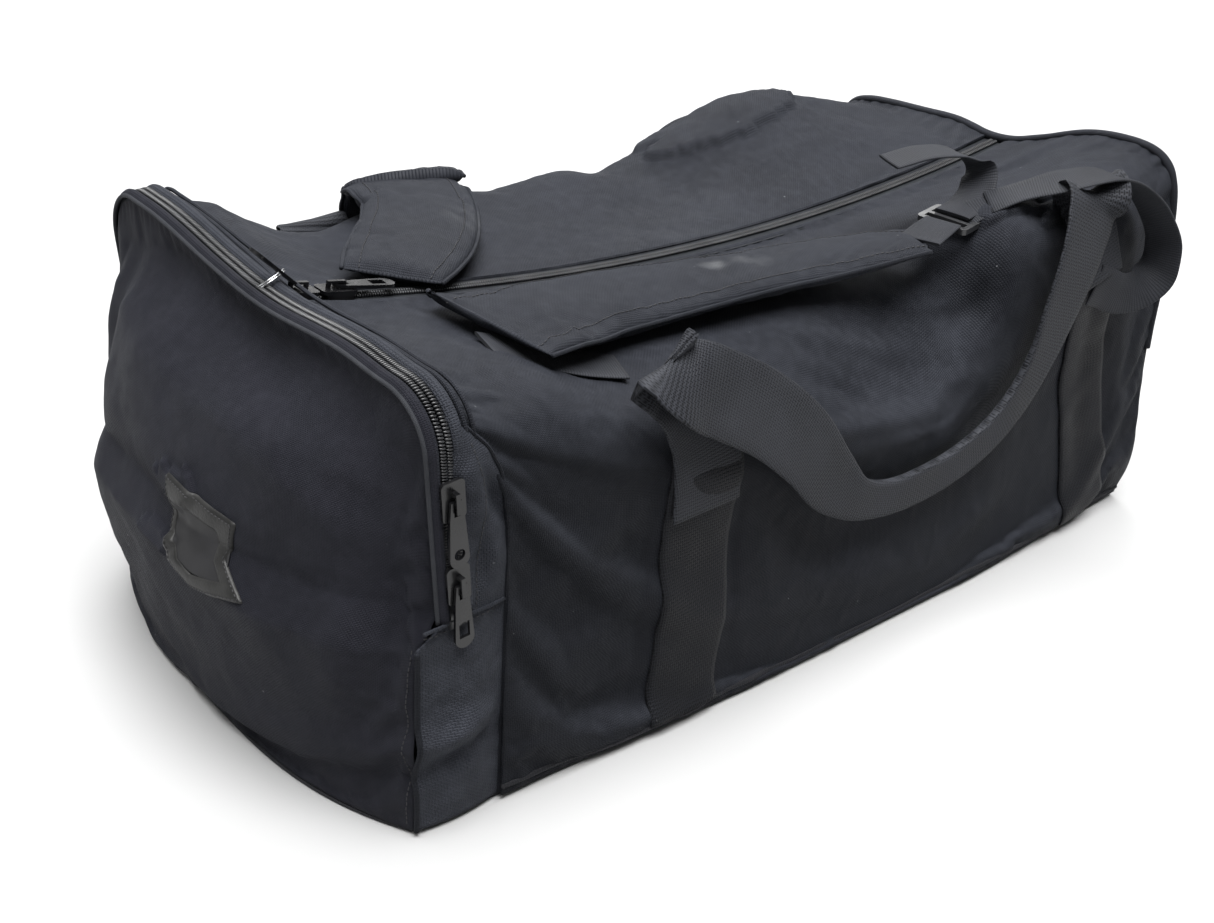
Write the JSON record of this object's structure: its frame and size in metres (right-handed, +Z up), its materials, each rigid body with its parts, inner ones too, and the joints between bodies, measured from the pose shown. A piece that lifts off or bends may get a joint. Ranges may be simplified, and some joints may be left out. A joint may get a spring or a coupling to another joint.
{
  "type": "duffel bag",
  "caption": "Soft box-shaped duffel bag with a long top zip, a zipped end pocket, webbing carry handles and padded shoulder straps.",
  "frame": {"origin": "on the floor under the middle of the bag body, halfway between its end seams and its side walls", "axes": "+X along the bag away from the end pocket, -Y the front side, +Z up"},
  "size_m": [0.6935, 0.3697, 0.2708],
  "materials": {
    "oxford_cloth": "matte woven polyester with a faint sheen",
    "base_cloth": "matte woven polyester",
    "lining_cloth": "plain woven lining",
    "board_plastic": "stiff flat sheet",
    "edge_piping": "satin coated cord",
    "zip_coil": "semi-gloss moulded coil",
    "zip_tape": "woven herringbone tape",
    "zip_metal": "gloss black lacquer, worn at the edges",
    "ring_chrome": "polished",
    "window_leatherette": "semi-gloss grained leatherette",
    "window_film": "clear soft film",
    "handle_webbing": "coarse woven webbing",
    "strap_webbing": "ribbed woven webbing",
    "pad_cloth": "padded woven polyester",
    "buckle_plastic": "semi-gloss moulded plastic"
  },
  "bodies": {
    "bag": {"base_panel": "base_cloth", "base_board": "board_plastic", "base_piping": "edge_piping", "front_wall": "oxford_cloth", "rear_wall": "oxford_cloth", "right_end_panel": "oxford_cloth", "right_end_welt": "oxford_cloth", "pocket_divider": "lining_cloth", "end_panel_lower": "oxford_cloth", "gusset_front": "oxford_cloth", "gusset_rear": "oxford_cloth", "top_left_bridge": "oxford_cloth", "top_right_bridge": "oxford_cloth", "main_zip_chain_left": "zip_coil", "main_zip_chain_right": "zip_coil", "end_zip_tape_bag": "zip_tape", "end_zip_coil_bag": "zip_coil", "end_zip_feet": "zip_coil", "id_window_frame": "window_leatherette", "id_window_film": "window_film", "front_leg_left": "handle_webbing", "front_leg_right": "handle_webbing", "rear_leg_left": "handle_webbing", "rear_leg_right": "handle_webbing", "front_adjuster_webbing": "strap_webbing", "rear_adjuster_webbing": "strap_webbing"},
    "top_front_flap": {"top_front_panel": "oxford_cloth", "main_zip_tape_front": "zip_tape", "main_zip_coil_front": "zip_coil", "front_strap_anchor": "strap_webbing", "front_adjuster_end": "strap_webbing"},
    "top_rear_flap": {"top_rear_panel": "oxford_cloth", "main_zip_tape_rear": "zip_tape", "main_zip_coil_rear": "zip_coil", "rear_pad_top": "pad_cloth", "rear_strap_anchor": "strap_webbing"},
    "end_flap": {"end_flap_panel": "oxford_cloth", "end_flap_piping": "edge_piping", "end_zip_tape_flap": "zip_tape", "end_zip_coil_flap": "zip_coil"},
    "front_handle": {"front_handle": "handle_webbing"},
    "rear_handle": {"rear_handle": "handle_webbing"},
    "front_strap": {"front_shoulder_pad": "pad_cloth", "front_pad_webbing": "strap_webbing", "front_strap_tail": "strap_webbing"},
    "front_buckle": {"front_buckle": "buckle_plastic"},
    "rear_strap": {"rear_pad_drop": "pad_cloth", "rear_strap_tail": "strap_webbing"},
    "rear_buckle": {"rear_buckle": "buckle_plastic"},
    "main_slider_left": {"main_slider_left": "zip_metal"},
    "main_pull_left": {"main_pull_left": "zip_metal"},
    "split_ring": {"split_ring": "ring_chrome"},
    "main_slider_right": {"main_slider_right": "zip_metal"},
    "main_pull_right": {"main_pull_right": "zip_metal"},
    "end_slider_upper": {"end_slider_upper": "zip_metal"},
    "end_pull_upper": {"end_pull_upper": "zip_metal"},
    "end_slider_lower": {"end_slider_lower": "zip_metal"},
    "end_pull_lower": {"end_pull_lower": "zip_metal"}
  },
  "joints": [
    {"name": "top_front_flap_fold", "type": "hinge", "parent": "bag", "child": "top_front_flap", "pos_m": [0, -0.141, 0.248], "axis": [1, 0, 0], "range_deg": [0, 65]},
    {"name": "top_rear_flap_fold", "type": "hinge", "parent": "bag", "child": "top_rear_flap", "pos_m": [0, 0.141, 0.248], "axis": [-1, 0, 0], "range_deg": [0, 65]},
    {"name": "end_flap_fold", "type": "hinge", "parent": "bag", "child": "end_flap", "pos_m": [-0.366, 0, 0.15], "axis": [0, -1, 0], "range_deg": [0, 110]},
    {"name": "front_handle_swing", "type": "hinge", "parent": "bag", "child": "front_handle", "pos_m": [-0.134, -0.165, 0.2095], "axis": [0.9927, -0.0029, 0.1208], "range_deg": [-105, 0]},
    {"name": "rear_handle_swing", "type": "hinge", "parent": "bag", "child": "rear_handle", "pos_m": [-0.181, 0.165, 0.2065], "axis": [-0.9955, -0.0086, -0.0941], "range_deg": [-165, 0]},
    {"name": "front_strap_lift", "type": "hinge", "parent": "top_front_flap", "child": "front_strap", "pos_m": [-0.222, -0.075, 0.23], "axis": [0, -1, 0], "range_deg": [0, 40]},
    {"name": "rear_strap_swing", "type": "hinge", "parent": "bag", "child": "rear_strap", "pos_m": [-0.112, 0.156, 0.224], "axis": [1, 0, 0], "range_deg": [0, 75]},
    {"name": "front_buckle_tilt", "type": "hinge", "parent": "front_strap", "child": "front_buckle", "pos_m": [0.106, -0.109, 0.236], "axis": [0, -1, 0], "range_deg": [0, 45]},
    {"name": "rear_buckle_tilt", "type": "hinge", "parent": "rear_strap", "child": "rear_buckle", "pos_m": [-0.103, 0.165, 0.12], "axis": [1, 0, 0], "range_deg": [0, 15]},
    {"name": "main_slider_left_travel", "type": "hinge", "parent": "bag", "child": "main_slider_left", "pos_m": [0.02, 0, 1.853], "axis": [0, -1, 0], "range_deg": [-0.035, 0.035]},
    {"name": "main_slider_right_travel", "type": "hinge", "parent": "bag", "child": "main_slider_right", "pos_m": [0.02, 0, 1.853], "axis": [0, -1, 0], "range_deg": [0, 18.2]},
    {"name": "main_pull_left_swing", "type": "hinge", "parent": "main_slider_left", "child": "main_pull_left", "pos_m": [-0.28271, 0, 0.23813], "axis": [0, 1, 0], "range_deg": [0, 40]},
    {"name": "main_pull_right_swing", "type": "hinge", "parent": "main_slider_right", "child": "main_pull_right", "pos_m": [-0.26031, 0, 0.23409], "axis": [0, -1, 0], "range_deg": [0, 100]},
    {"name": "split_ring_swing", "type": "hinge", "parent": "main_pull_left", "child": "split_ring", "pos_m": [-0.29237, 0, 0.24682], "axis": [0, 1, 0], "range_deg": [-56, 0]},
    {"name": "end_slider_upper_travel", "type": "slide", "parent": "bag", "child": "end_slider_upper", "axis": [-0.0837, 0, 0.9965], "range_m": [0, 0.013]},
    {"name": "end_slider_lower_travel", "type": "slide", "parent": "bag", "child": "end_slider_lower", "axis": [-0.0837, 0, 0.9965], "range_m": [-0.006, 0]},
    {"name": "end_pull_upper_swing", "type": "hinge", "parent": "end_slider_upper", "child": "end_pull_upper", "pos_m": [-0.29869, -0.1658, 0.19576], "axis": [-1, 0, 0], "range_deg": [0, 105]},
    {"name": "end_pull_lower_swing", "type": "hinge", "parent": "end_slider_lower", "child": "end_pull_lower", "pos_m": [-0.29476, -0.1658, 0.14893], "axis": [-1, 0, 0], "range_deg": [0, 105]}
  ],
  "couplings": [
    {"joint": "split_ring_swing", "follows": "main_pull_left_swing", "ratio": -1.4}
  ]
}
